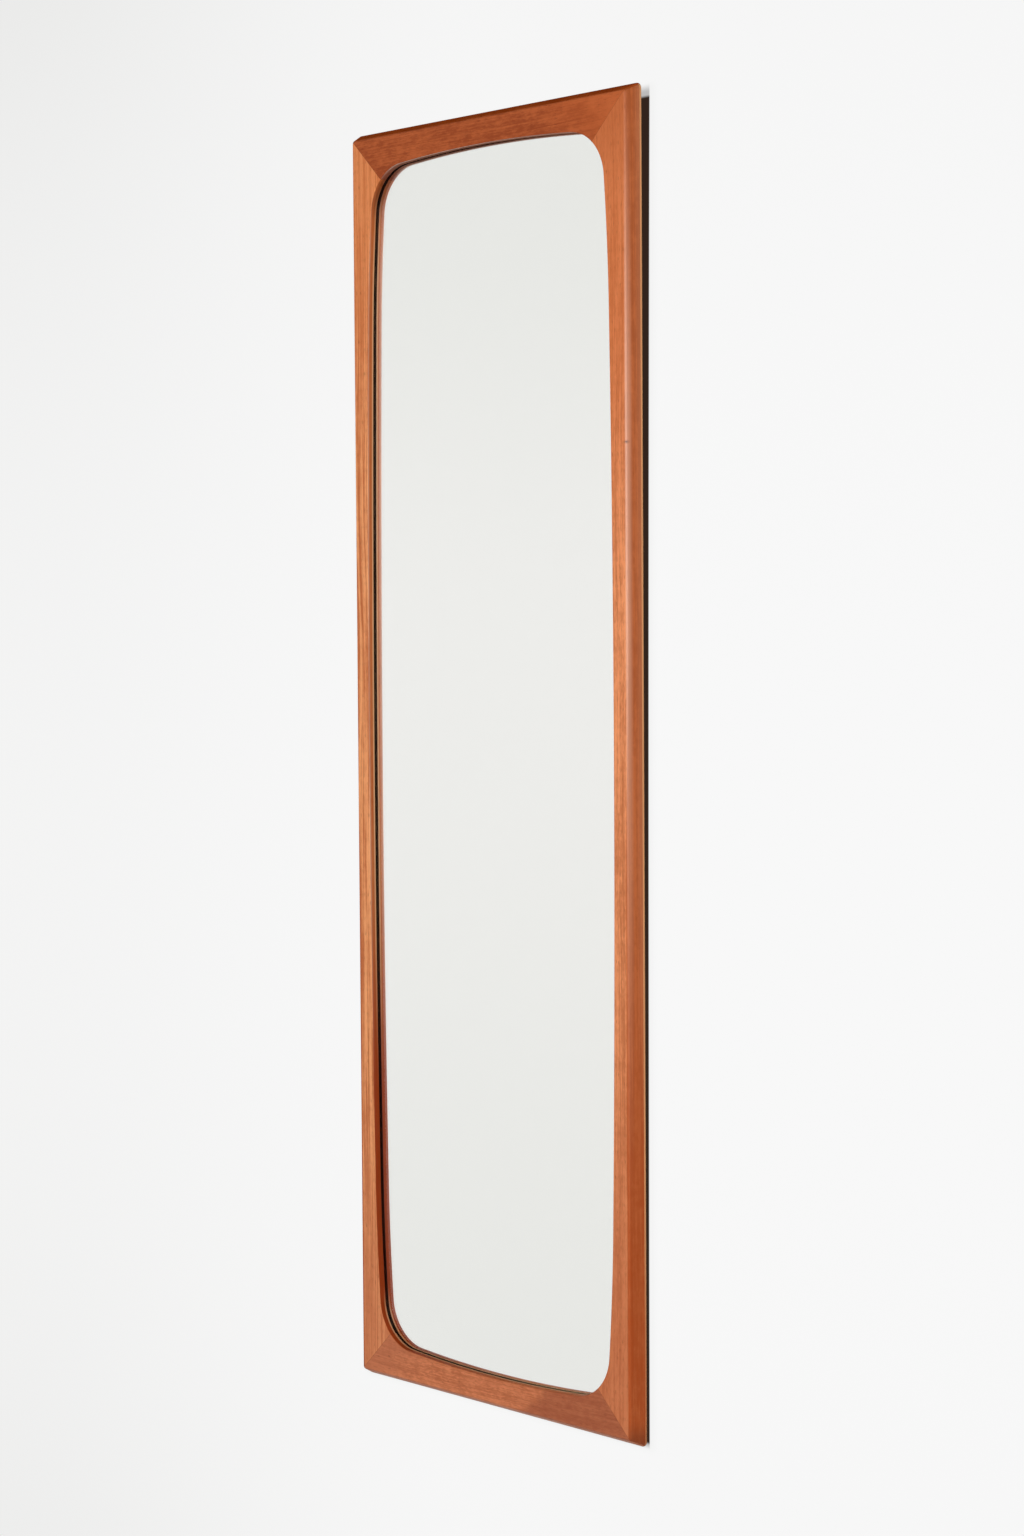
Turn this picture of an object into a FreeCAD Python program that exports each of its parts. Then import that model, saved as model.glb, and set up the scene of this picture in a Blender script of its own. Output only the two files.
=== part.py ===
import FreeCAD, Part
import math
import os

# A tall teak wall mirror in millimetres. X runs to the viewer's right, Y into the wall and Z up.
# The origin lies on the frame's back plane, midway between the two hangers and level with the
# insides of their rings' tips, where the wall hooks carry the mirror.

# Frame of four mitred members, whose outer sides lean out from the front face to a square back edge
frame_height = 1200.0
frame_width = 375.0
frame_depth = 14.5
side_splay = 7.0
back_edge_depth = 1.2
front_corner_radius = 2.5
back_corner_radius = 5.0
front_arris_radius = 3.0
back_arris = 0.4
stile_width = 23.5
rail_width = 30.7

# Opening with bowed sides and ends; a side turns in faster beyond its shoulders
side_bow_radius = 22600.0
shoulder_below_end = 161.0
shoulder_radius = 1900.0
opening_corner_radius = 45.0
end_bow_radius = 1430.0
opening_arris = 0.8

# Rebate behind the lip; at the back its wall is equally thick all round
lip_depth = 7.5
rebate_wall = 17.5

# Mirror glass, standing on the bottom wall of the rebate
glass_thickness = 3.0
glass_side_clearance = 1.0
glass_top_clearance = 2.0
glass_arris = 0.4

# Hardboard back, straight behind the glass
board_thickness = 2.5
board_side_clearance = 1.2
board_top_clearance = 2.4

# Flat steel points that hold the board, driven into the rebate wall
point_thickness = 0.5
point_width = 5.0
point_length = 15.0
point_tip_length = 3.5
point_grip = 7.0
point_clearance = 0.02
side_point_shares = (-0.43, -0.22, 0.0, 0.22, 0.43)
end_point_shares = (-0.3, 0.3)

# Loose tongues across the mitres, in the middle of the lip's depth
tongue_length = 36.0
tongue_width = 16.0
tongue_thickness = 3.0
tongue_corner_distance = 20.0
tongue_clearance = 0.1

# Triangular ring of wire that swings in the eye of each strap
ring_wire = 2.0
ring_height = 12.0
ring_tip_radius = 1.2
ring_base_play = 0.7
ring_eye_clearance = 0.05

# Straps of folded steel on the backs of the stiles
strap_width = 7.0
strap_leaf = 0.8
strap_neck_radius = 1.2
strap_end_radius = 2.8
strap_tail = 4.5
hanger_below_top = 60.0
hanger_side_distance = 9.75

# Countersunk screws through the straps
screw_diameter = 2.4
screw_head_diameter = 4.6
screw_head_height = 1.2
screw_length = 12.0
screw_tip_length = 2.5
screw_slot_width = 0.7
screw_slot_depth = 0.5
screw_clearance = 0.05
first_screw_below_eye = 7.0
screw_spacing = 9.0

# Felt pads on the bottom corners
pad_diameter = 10.0
pad_thickness = 2.0
pad_corner_distance = 8.0

# One overrun serves every cut that passes through
overrun = 5.0

# Places that follow from the sizes
opening_width = frame_width - 2 * stile_width
opening_height = frame_height - 2 * rail_width
shoulder_height = opening_height / 2 - shoulder_below_end
eye_radius = ring_wire / 2 + ring_eye_clearance + strap_leaf
eye_z = -ring_height
hanger_x = frame_width / 2 - hanger_side_distance
frame_top = eye_z + hanger_below_top
frame_middle = frame_top - frame_height / 2
frame_front = -frame_depth
rebate_floor = frame_front + lip_depth
glass_back = rebate_floor + glass_thickness
board_back = glass_back + board_thickness
rebate_half_width = frame_width / 2 - rebate_wall
rebate_half_height = frame_height / 2 - rebate_wall


def vec(x, y, z):
    return FreeCAD.Vector(x, y, z)


def edges_along_y(shape):
    """Straight edges that run from front to back."""
    chosen = []
    for edge in shape.Edges:
        box = edge.BoundBox
        if box.YLength > max(box.XLength, box.ZLength):
            chosen.append(edge)
    return chosen


def edges_at_y(shape, y, reach_x, reach_z):
    """Edges that lie in the plane at y, no farther than the reach from the frame's middle."""
    chosen = []
    slack = back_arris / 10
    for edge in shape.Edges:
        box = edge.BoundBox
        flat = abs(box.YMin - y) < slack and abs(box.YMax - y) < slack
        inside_x = max(abs(box.XMin), abs(box.XMax)) < reach_x
        inside_z = max(abs(box.ZMin - frame_middle), abs(box.ZMax - frame_middle)) < reach_z
        if flat and inside_x and inside_z:
            chosen.append(edge)
    return chosen


def circles_meeting(centre_a, radius_a, centre_b, radius_b):
    """The meeting point of two circles that lies above and to the right of the opening's middle."""
    across = centre_b[0] - centre_a[0]
    up = centre_b[1] - centre_a[1]
    gap = math.hypot(across, up)
    along = (radius_a ** 2 - radius_b ** 2 + gap ** 2) / (2 * gap)
    off = math.sqrt(radius_a ** 2 - along ** 2)
    x = centre_a[0] + (along * across + off * abs(up)) / gap
    z = centre_a[1] + (along * up + off * abs(across)) / gap
    return x, z


def opening_quarter():
    """The upper right quarter of the opening as tangent arcs: centre, radius, first and last angle."""
    half_width = opening_width / 2
    half_height = opening_height / 2
    side_centre = (half_width - side_bow_radius, 0)
    shoulder_angle = math.asin(shoulder_height / side_bow_radius)
    step = side_bow_radius - shoulder_radius
    shoulder_centre = (side_centre[0] + step * math.cos(shoulder_angle), step * math.sin(shoulder_angle))
    end_centre = (0, half_height - end_bow_radius)
    corner_centre = circles_meeting(shoulder_centre, shoulder_radius - opening_corner_radius,
                                    end_centre, end_bow_radius - opening_corner_radius)
    corner_start = math.atan2(corner_centre[1] - shoulder_centre[1], corner_centre[0] - shoulder_centre[0])
    corner_end = math.atan2(corner_centre[1] - end_centre[1], corner_centre[0])
    return [
        (side_centre, side_bow_radius, 0, shoulder_angle),
        (shoulder_centre, shoulder_radius, shoulder_angle, corner_start),
        (corner_centre, opening_corner_radius, corner_start, corner_end),
        (end_centre, end_bow_radius, corner_end, math.pi / 2),
    ]


def opening_outline(y):
    """The closed outline of the opening in the plane at y."""
    edges = []
    for side, level in ((1, 1), (-1, 1), (-1, -1), (1, -1)):
        for centre, radius, first, last in opening_quarter():
            points = []
            for angle in (first, (first + last) / 2, last):
                x = side * (centre[0] + radius * math.cos(angle))
                z = level * (centre[1] + radius * math.sin(angle))
                points.append(vec(x, y, frame_middle + z))
            edges.append(Part.Arc(*points).toShape())
    return Part.Wire(Part.__sortEdges__(edges))


def rounded_rectangle(inset, radius, y):
    """An outline in the plane at y with four round corners, inside the frame's back by the inset."""
    corner_arcs = []
    for turn, (across, up) in enumerate(((1, 1), (-1, 1), (-1, -1), (1, -1))):
        centre_x = across * (frame_width / 2 - inset - radius)
        centre_z = frame_middle + up * (frame_height / 2 - inset - radius)
        points = []
        for share in (0, 0.5, 1):
            angle = (turn + share) * math.pi / 2
            points.append(vec(centre_x + radius * math.cos(angle), y, centre_z + radius * math.sin(angle)))
        corner_arcs.append(points)
    edges = []
    for points, following in zip(corner_arcs, corner_arcs[1:] + corner_arcs[:1]):
        edges.append(Part.Arc(*points).toShape())
        edges.append(Part.makeLine(points[-1], following[0]))
    return Part.Wire(edges)


def frame_blank():
    """The outside of the frame: leaning sides on a square back edge, with all its arrises eased."""
    front = rounded_rectangle(side_splay, front_corner_radius, frame_front)
    foot = rounded_rectangle(0, back_corner_radius, -back_edge_depth)
    back = rounded_rectangle(0, back_corner_radius, 0)
    block = Part.makeLoft([front, foot, back], True, True)
    block = block.makeFillet(front_arris_radius, edges_at_y(block, frame_front, frame_width, frame_height))
    return block.makeChamfer(back_arris, edges_at_y(block, 0, frame_width, frame_height))


def opening_cutter():
    """The opening's prism, whose walls stand square to the glass."""
    face = Part.Face(opening_outline(frame_front - overrun))
    return face.extrude(vec(0, lip_depth + 2 * overrun, 0))


def rebate_cutter():
    """The rectangular rebate behind the lip, open at the back."""
    corner = vec(-rebate_half_width, rebate_floor, frame_middle - rebate_half_height)
    depth = -rebate_floor + overrun
    return Part.makeBox(2 * rebate_half_width, depth, 2 * rebate_half_height, corner)


def whole_frame():
    """The glued-up frame, as it is after routing the opening, its arris and the rebate."""
    frame = frame_blank().cut(opening_cutter())
    arris = edges_at_y(frame, frame_front, opening_width / 2 + opening_arris,
                       opening_height / 2 + opening_arris)
    frame = frame.makeChamfer(opening_arris, arris)
    return frame.cut(rebate_cutter())


def mitre_wedge(across, up):
    """The region between two mitres: an end's triangle (up) or a side's trapezium (across)."""
    reach = frame_width / 2 + overrun
    tip = frame_height / 2 - frame_width / 2
    far = frame_height / 2 + overrun
    if up:
        outline = [(-reach, up * far), (reach, up * far), (0, up * tip)]
    else:
        outline = [(across * reach, far), (across * reach, -far), (0, -tip), (0, tip)]
    points = [vec(x, frame_front - overrun, frame_middle + z) for x, z in outline]
    points.append(points[0])
    face = Part.Face(Part.makePolygon(points))
    return face.extrude(vec(0, frame_depth + 2 * overrun, 0))


def mitre_plate(across, up, clearance):
    """A flat plate lying across one mitre; the clearance turns a tongue into its groove."""
    length = tongue_length + 2 * clearance
    width = tongue_width + 2 * clearance
    thickness = tongue_thickness + 2 * clearance
    plate = Part.makeBox(length, thickness, width, vec(-length / 2, -thickness / 2, -width / 2))
    plate.rotate(vec(0, 0, 0), vec(0, 1, 0), -math.degrees(math.atan2(up, across)))
    inward = (tongue_corner_distance + tongue_length / 2) / math.sqrt(2)
    x = across * (frame_width / 2 - inward)
    z = frame_middle + up * (frame_height / 2 - inward)
    plate.translate(vec(x, frame_front + lip_depth / 2, z))
    return plate


def corner_grooves():
    grooves = []
    for across in (-1, 1):
        for up in (-1, 1):
            grooves.append(mitre_plate(across, up, tongue_clearance))
    return grooves


def pane(thickness, front, side_clearance, top_clearance):
    """A rectangular sheet in the rebate, standing on its bottom wall."""
    width = 2 * (rebate_half_width - side_clearance)
    height = 2 * rebate_half_height - top_clearance
    corner = vec(-width / 2, front, frame_middle - rebate_half_height)
    return Part.makeBox(width, thickness, height, corner)


def mirror_glass():
    glass = pane(glass_thickness, rebate_floor, glass_side_clearance, glass_top_clearance)
    return glass.makeChamfer(glass_arris, glass.Edges)


def back_board():
    return pane(board_thickness, glass_back, board_side_clearance, board_top_clearance)


def wall_places(side_shares, end_shares):
    """Places along the rebate wall: x, z from the frame's middle and the turn that faces the wall."""
    places = []
    for share in side_shares:
        places.append((rebate_half_width, share * 2 * rebate_half_height, 0))
        places.append((-rebate_half_width, share * 2 * rebate_half_height, 180))
    for share in end_shares:
        places.append((share * 2 * rebate_half_width, rebate_half_height, -90))
        places.append((share * 2 * rebate_half_width, -rebate_half_height, 90))
    return places


def on_wall(piece, place):
    """A piece drawn with the rebate wall at x = 0 and the wood beyond it, set at its place."""
    x, z, turn = place
    piece.rotate(vec(0, 0, 0), vec(0, 1, 0), turn)
    piece.translate(vec(x, 0, frame_middle + z))
    return piece


def board_point(clearance):
    """A flat pointed strip lying on the board; with a clearance it is the slot that it makes."""
    half = point_width / 2 + clearance
    tip = point_grip + clearance
    shoulder = tip - point_tip_length
    tail = point_grip - point_length
    outline = [(tail, -half), (shoulder, -half), (tip, 0), (shoulder, half), (tail, half), (tail, -half)]
    points = [vec(x, board_back - clearance, z) for x, z in outline]
    return Part.Face(Part.makePolygon(points)).extrude(vec(0, point_thickness + 2 * clearance, 0))


def strap_eye(side, radius):
    """A round bar through the eye of one strap."""
    start = vec(side * hanger_x - strap_width / 2, eye_radius, eye_z)
    return Part.makeCylinder(radius, strap_width, start, vec(1, 0, 0))


def strap_bottom():
    return eye_z - first_screw_below_eye - screw_spacing - strap_tail


def hanger_strap(side):
    """A strip folded round the ring's bar, its two leaves lying on each other down to the tail."""
    left = side * hanger_x - strap_width / 2
    long_leaf = Part.makeBox(strap_width, strap_leaf, eye_z - strap_bottom(), vec(left, 0, strap_bottom()))
    short_leaf = long_leaf.copy()
    short_leaf.translate(vec(0, strap_leaf, 0))
    strap = long_leaf.fuse([short_leaf, strap_eye(side, eye_radius)]).removeSplitter()
    neck = []
    for edge in strap.Edges:
        box = edge.BoundBox
        across = box.XLength > max(box.YLength, box.ZLength)
        on_short_leaf = abs(box.YMin - 2 * strap_leaf) < strap_leaf / 10
        if across and on_short_leaf and box.ZMin > strap_bottom() + strap_tail:
            neck.append(edge)
    strap = strap.makeFillet(strap_neck_radius, neck)
    tail = [edge for edge in edges_along_y(strap) if edge.BoundBox.ZMax < strap_bottom() + strap_tail]
    strap = strap.makeFillet(strap_end_radius, tail)
    strap = strap.cut(strap_eye(side, ring_wire / 2 + ring_eye_clearance))
    for level in screw_levels():
        strap = strap.cut(screw_body(side, level, screw_clearance))
    return strap


def screw_levels():
    first = eye_z - first_screw_below_eye
    return [first, first - screw_spacing]


def screw_body(side, level, clearance):
    """A countersunk screw pointing to the front; with a clearance it is its hole and countersink."""
    head = screw_head_diameter / 2 + clearance
    shank = screw_diameter / 2 + clearance
    face = 2 * strap_leaf
    under_head = face - screw_head_height
    end = face - screw_length - clearance
    profile = [(0, face), (head, face), (shank, under_head), (shank, end + screw_tip_length), (0, end)]
    points = [vec(x, y, 0) for x, y in profile]
    points.append(points[0])
    body = Part.Face(Part.makePolygon(points)).revolve(vec(0, 0, 0), vec(0, 1, 0), 360)
    body.translate(vec(side * hanger_x, 0, level))
    return body


def hanger_screw(side, level):
    """One screw with the slot in its head."""
    slot = Part.makeBox(screw_head_diameter, screw_slot_depth, screw_slot_width)
    slot.translate(vec(side * hanger_x - screw_head_diameter / 2, 2 * strap_leaf - screw_slot_depth,
                       level - screw_slot_width / 2))
    return screw_body(side, level, 0).cut(slot)


def hanger_ring(side):
    """A closed triangle of round wire with a bent tip, its base in the strap's eye, standing up."""
    base = strap_width / 2 + ring_base_play + ring_wire / 2
    tip_radius = ring_tip_radius + ring_wire / 2
    tip_centre = ring_height - ring_tip_radius
    lean = math.acos(tip_radius / math.hypot(base, tip_centre)) - math.atan2(tip_centre, base)
    leg_end = tip_radius * math.cos(lean)
    leg_top = tip_centre + tip_radius * math.sin(lean)

    def at(x, above_eye):
        return vec(side * hanger_x + x, eye_radius, eye_z + above_eye)

    path = [
        Part.makeLine(at(0, 0), at(base, 0)),
        Part.makeLine(at(base, 0), at(leg_end, leg_top)),
        Part.Arc(at(leg_end, leg_top), at(0, tip_centre + tip_radius), at(-leg_end, leg_top)).toShape(),
        Part.makeLine(at(-leg_end, leg_top), at(-base, 0)),
        Part.makeLine(at(-base, 0), at(0, 0)),
    ]
    section = Part.Wire(Part.makeCircle(ring_wire / 2, at(0, 0), vec(1, 0, 0)))
    mitred = 1
    return Part.Wire(path).makePipeShell([section], True, False, mitred)


def felt_pad(side):
    level = frame_middle - frame_height / 2 + pad_corner_distance
    centre = vec(side * (frame_width / 2 - pad_corner_distance), 0, level)
    return Part.makeCylinder(pad_diameter / 2, pad_thickness, centre, vec(0, 1, 0))


def frame_members():
    """The four members, cut from the frame at the mitres, with grooves, slots and screw holes."""
    frame = whole_frame()
    cuts = corner_grooves()
    for place in wall_places(side_point_shares, end_point_shares):
        cuts.append(on_wall(board_point(point_clearance), place))
    for side in (-1, 1):
        for level in screw_levels():
            cuts.append(screw_body(side, level, screw_clearance))
    frame = frame.cut(cuts)
    return {
        "left_stile": frame.common(mitre_wedge(-1, 0)),
        "right_stile": frame.common(mitre_wedge(1, 0)),
        "top_rail": frame.common(mitre_wedge(0, 1)),
        "bottom_rail": frame.common(mitre_wedge(0, -1)),
    }


def all_parts():
    parts = frame_members()
    for across, side_name in ((-1, "left"), (1, "right")):
        for up, end_name in ((1, "top"), (-1, "bottom")):
            parts["tongue_" + end_name + "_" + side_name] = mitre_plate(across, up, 0)
        parts[side_name + "_hanger_strap"] = hanger_strap(across)
        parts[side_name + "_hanger_ring"] = hanger_ring(across)
        parts[side_name + "_felt_pad"] = felt_pad(across)
    parts["mirror_glass"] = mirror_glass()
    parts["back_board"] = back_board()
    point_places = wall_places(side_point_shares, end_point_shares)
    parts["board_points"] = Part.makeCompound([on_wall(board_point(0), place) for place in point_places])
    screws = [hanger_screw(side, level) for side in (-1, 1) for level in screw_levels()]
    parts["hanger_screws"] = Part.makeCompound(screws)
    return parts


os.makedirs("parts", exist_ok=True)
for name, shape in all_parts().items():
    shape.exportStep("parts/" + name + ".step")
    print(name, len(shape.Solids), "solids", round(shape.Volume), "mm3", "valid", shape.isValid())
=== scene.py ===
import bmesh
import bpy
import math
from mathutils import Matrix, Vector, noise


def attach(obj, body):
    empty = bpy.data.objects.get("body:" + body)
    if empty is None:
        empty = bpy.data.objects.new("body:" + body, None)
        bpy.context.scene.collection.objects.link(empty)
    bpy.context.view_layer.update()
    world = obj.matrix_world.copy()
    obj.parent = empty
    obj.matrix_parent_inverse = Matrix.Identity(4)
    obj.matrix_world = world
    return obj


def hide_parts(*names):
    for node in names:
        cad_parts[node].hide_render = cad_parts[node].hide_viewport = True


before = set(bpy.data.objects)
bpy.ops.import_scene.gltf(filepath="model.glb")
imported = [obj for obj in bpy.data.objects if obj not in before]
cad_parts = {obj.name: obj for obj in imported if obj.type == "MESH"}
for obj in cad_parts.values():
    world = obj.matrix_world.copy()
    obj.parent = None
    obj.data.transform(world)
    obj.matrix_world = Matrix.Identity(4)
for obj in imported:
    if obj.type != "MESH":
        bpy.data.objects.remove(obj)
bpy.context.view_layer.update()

# Frame members of the mirror
# Two stiles and two rails of solid teak, mitred at the corners. Each has a bowed inner edge, an
# outer side that leans out to a square back edge, a lip before the glass and a rebate behind it.
MM = 0.001
frame_middle = -552.0
half_width = 187.5
half_height = 600.0
front_face = -14.5
side_splay = 7.0
back_edge = 1.2
front_corner = 2.5
back_corner = 5.0
front_arris = 3.0
back_arris = 0.4
opening_half_width = 164.0
opening_half_height = 569.3
side_bow = 22600.0
shoulder_height = 408.3
shoulder_bow = 1900.0
corner_bow = 45.0
end_bow = 1430.0
opening_arris = 0.8
lip_back = -7.0
rebate_half_width = 170.0
rebate_half_height = 582.5
corner_steps, shoulder_steps, bow_steps = 14, 10, 12
small_arris_steps, front_arris_steps = 4, 10
beside_arris = 0.25
beside_side_end = 0.04
crease_angle = 38


def circles_meeting(centre_a, radius_a, centre_b, radius_b):
    """Where two circles meet, above and to the right of the opening's middle."""
    across, up = centre_b[0] - centre_a[0], centre_b[1] - centre_a[1]
    gap = math.hypot(across, up)
    along = (radius_a ** 2 - radius_b ** 2 + gap ** 2) / (2 * gap)
    off = math.sqrt(radius_a ** 2 - along ** 2)
    return (centre_a[0] + (along * across + off * abs(up)) / gap,
            centre_a[1] + (along * up + off * abs(across)) / gap)


side_centre = (opening_half_width - side_bow, 0.0)
shoulder_angle = math.asin(shoulder_height / side_bow)
shoulder_centre = (side_centre[0] + (side_bow - shoulder_bow) * math.cos(shoulder_angle),
                   (side_bow - shoulder_bow) * math.sin(shoulder_angle))
end_centre = (0.0, opening_half_height - end_bow)
corner_centre = circles_meeting(shoulder_centre, shoulder_bow - corner_bow,
                                end_centre, end_bow - corner_bow)
shoulder_end = math.atan2(corner_centre[1] - shoulder_centre[1], corner_centre[0] - shoulder_centre[0])
end_start = math.atan2(corner_centre[1] - end_centre[1], corner_centre[0] - end_centre[0])
mitre_rise = half_height - half_width


def arc(centre, radius, first, last, steps):
    """Points on an arc, without its last one."""
    angles = [first + (last - first) * step / steps for step in range(steps)]
    return [(centre[0] + radius * math.cos(a), centre[1] + radius * math.sin(a)) for a in angles]


def inner_edge(is_stile, growth):
    """Half of a member's line along the opening, from the mitre to the middle, as x and z."""
    lean = mitre_rise - corner_centre[1] + corner_centre[0]
    mitre_angle = math.pi / 4 + math.asin(lean / ((corner_bow + growth) * math.sqrt(2)))
    if is_stile:
        line = arc(corner_centre, corner_bow + growth, mitre_angle, shoulder_end, corner_steps)
        line += arc(shoulder_centre, shoulder_bow + growth, shoulder_end, shoulder_angle, shoulder_steps)
        return line + arc(side_centre, side_bow + growth, shoulder_angle, 0.0, bow_steps)
    line = arc(corner_centre, corner_bow + growth, mitre_angle, end_start, corner_steps)
    return line + arc(end_centre, end_bow + growth, end_start, math.pi / 2, shoulder_steps + bow_steps)


def outer_edge(is_stile, inset):
    """Half of a member's line along the outside, matched step by step to the inner edge."""
    radius = back_corner + (front_corner - back_corner) * min(inset / side_splay, 1.0)
    radius -= max(inset - side_splay, 0.0)
    centre = (half_width - inset - radius, half_height - inset - radius)
    line = arc(centre, radius, math.pi / 4, 0.0 if is_stile else math.pi / 2, corner_steps)
    guide = inner_edge(is_stile, 0.0)[corner_steps:]
    for x, z in guide:
        if is_stile:
            line.append((half_width - inset, centre[1] * z / guide[0][1]))
        else:
            line.append((centre[0] * x / guide[0][0], half_height - inset))
    return line


def rebate_edge(is_stile):
    """Half of a member's straight line along the rebate's wall."""
    guide = inner_edge(is_stile, 0.0)
    if is_stile:
        return [(rebate_half_width, rebate_half_height * z / guide[0][1]) for x, z in guide]
    return [(rebate_half_width * x / guide[0][0], rebate_half_height) for x, z in guide]


def outer_section():
    """The outside of a member from its back to its front face, as insets and depths."""
    back = []
    for step in range(small_arris_steps + 1):
        turn = math.pi / 2 * step / small_arris_steps
        back.append((back_arris * (1 - math.sin(turn)), -back_arris * (1 - math.cos(turn))))
    back += [(0.0, -back_edge * 0.8), (0.0, -back_edge)]
    lean = math.atan2(-front_face - back_edge, side_splay)
    middle = (side_splay + front_arris * math.tan(lean / 2), front_face + front_arris)
    front = []
    for step in range(front_arris_steps + 1):
        turn = lean * (1 - step / front_arris_steps)
        front.append((middle[0] - front_arris * math.sin(turn), middle[1] - front_arris * math.cos(turn)))
    side = []
    for share in (beside_side_end, 1 - beside_side_end):
        side.append(tuple(a + share * (b - a) for a, b in zip(back[-1], front[0])))
    return back + side + front


def member_section(is_stile):
    """The lines along a member in order round its section, each with its depth."""
    lines = [(outer_edge(is_stile, inset), depth) for inset, depth in outer_section()]
    lines.append((outer_edge(is_stile, outer_section()[-1][0] + beside_arris), front_face))
    lines.append((inner_edge(is_stile, opening_arris + beside_arris), front_face))
    for step in range(small_arris_steps + 1):
        turn = math.pi / 2 * step / small_arris_steps
        growth = opening_arris * (1 - math.sin(turn))
        lines.append((inner_edge(is_stile, growth), front_face + opening_arris * (1 - math.cos(turn))))
    lines.append((inner_edge(is_stile, 0.0), front_face + opening_arris + beside_arris))
    lines.append((inner_edge(is_stile, 0.0), lip_back))
    lines.append((rebate_edge(is_stile), lip_back))
    lines.append((rebate_edge(is_stile), 0.0))
    return lines


def new_piece(name, mesh_code, body, node, material, crease=crease_angle):
    """A piece that stands in for a node: smooth up to the crease angle, riding on its body."""
    bmesh.ops.recalc_face_normals(mesh_code, faces=mesh_code.faces)
    mesh = bpy.data.meshes.new(name)
    mesh_code.to_mesh(mesh)
    mesh_code.free()
    mesh.polygons.foreach_set("use_smooth", [True] * len(mesh.polygons))
    mesh.set_sharp_from_angle(angle=math.radians(crease))
    mesh.materials.append(material)
    piece = bpy.data.objects.new(name, mesh)
    bpy.context.scene.collection.objects.link(piece)
    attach(piece, body)
    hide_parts(node)
    return piece


def skin(made, rows, rows_close, last_meets_first):
    """Faces between each row of points and the next."""
    following_rows = rows[1:] + rows[:1] if last_meets_first else rows[1:]
    for row, following in zip(rows, following_rows):
        for k in range(len(row) if rows_close else len(row) - 1):
            after = (k + 1) % len(row)
            made.faces.new((row[k], row[after], following[after], following[k]))


def member_mesh(is_stile, way):
    """A stile (left -1, right 1) or a rail (bottom -1, top 1) between its two mitres."""
    made = bmesh.new()
    rows = []
    for line, y in member_section(is_stile):
        if is_stile:
            whole = line + [(line[-1][0], 0.0)] + [(x, -z) for x, z in reversed(line)]
            points = [(way * x, z) for x, z in whole]
        else:
            whole = line + [(0.0, line[-1][1])] + [(-x, z) for x, z in reversed(line)]
            points = [(x, way * z) for x, z in whole]
        rows.append([made.verts.new((x * MM, y * MM, (z + frame_middle) * MM)) for x, z in points])
    skin(made, rows, rows_close=False, last_meets_first=True)
    made.faces.new([row[0] for row in rows])
    made.faces.new([row[-1] for row in reversed(rows)])
    return made


class Shade:
    """A number, colour or place on its way through a finish; sums on it add their own nodes."""

    def __init__(self, socket):
        self.socket = socket

    def node(self, kind, settings, inputs, output=0):
        """Any other node: its kind, its settings, what its sockets hold and the output wanted."""
        made = self.socket.id_data.nodes.new(kind)
        for setting, value in settings.items():
            setattr(made, setting, value)
        for name, value in inputs.items():
            if isinstance(value, Shade):
                self.socket.id_data.links.new(value.socket, made.inputs[name])
            else:
                made.inputs[name].default_value = value
        return Shade(made.outputs[output])

    def math(self, operation, first, second=0.0):
        """One sum on two numbers."""
        return self.node("ShaderNodeMath", {"operation": operation}, {0: first, 1: second})

    def __add__(self, other):
        return self.math("ADD", self, other)

    __radd__ = __add__

    def __sub__(self, other):
        return self.math("SUBTRACT", self, other)

    def __rsub__(self, other):
        return self.math("SUBTRACT", other, self)

    def __mul__(self, other):
        return self.math("MULTIPLY", self, other)

    __rmul__ = __mul__

    def __abs__(self):
        return self.math("ABSOLUTE", self)

    def rise(self, low, high):
        """0 below low, 1 above high and smooth between them; turned round where low is above high."""
        return self.node("ShaderNodeMapRange", {"interpolation_type": "SMOOTHSTEP"},
                         {"Value": self, "From Min": low, "From Max": high})

    def axes(self):
        """The x, y and z of this place."""
        return [self.node("ShaderNodeSeparateXYZ", {}, {0: self}, axis) for axis in ("X", "Y", "Z")]

    def point(self, x, y, z):
        """The place that has this x, y and z."""
        return self.node("ShaderNodeCombineXYZ", {}, {"X": x, "Y": y, "Z": z})

    def length(self):
        """How far this place is from nought."""
        return self.node("ShaderNodeVectorMath", {"operation": "LENGTH"}, {0: self}, "Value")

    def cloud(self, scale=1.0, detail=2.0, rough=0.5):
        """Soft noise around a half at this place."""
        return self.node("ShaderNodeTexNoise", {}, {"Vector": self, "Scale": scale, "Detail": detail,
                                                    "Roughness": rough})

    def blend(self, under, over):
        """The under colour, with the over colour where this mask is 1."""
        return self.node("ShaderNodeMix", {"data_type": "RGBA"}, {0: self, 6: under, 7: over}, 2)

    def relief(self, distance, strength):
        """The normal that this height gives."""
        return self.node("ShaderNodeBump", {}, {"Height": self, "Distance": distance, "Strength": strength})

    def into(self, shader, name):
        """Leads this to a socket of a shader."""
        self.socket.id_data.links.new(self.socket, shader.inputs[name])


def tone(red, green, blue):
    """A colour as it is read off a swatch, from 0 to 255, for a shader's socket."""
    values = [v / 255 for v in (red, green, blue)]
    return (*[v / 12.92 if v < 0.04 else ((v + 0.055) / 1.055) ** 2.4 for v in values], 1.0)


def new_finish(name, fixed):
    """A finish with its fixed numbers: the material, its shader and the place on the piece."""
    material = bpy.data.materials.new(name)
    material.use_nodes = True
    shader = material.node_tree.nodes["Principled BSDF"]
    for socket, value in fixed.items():
        shader.inputs[socket].default_value = value
    place = Shade(material.node_tree.nodes.new("ShaderNodeTexCoord").outputs["Object"])
    return material, shader, place


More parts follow.
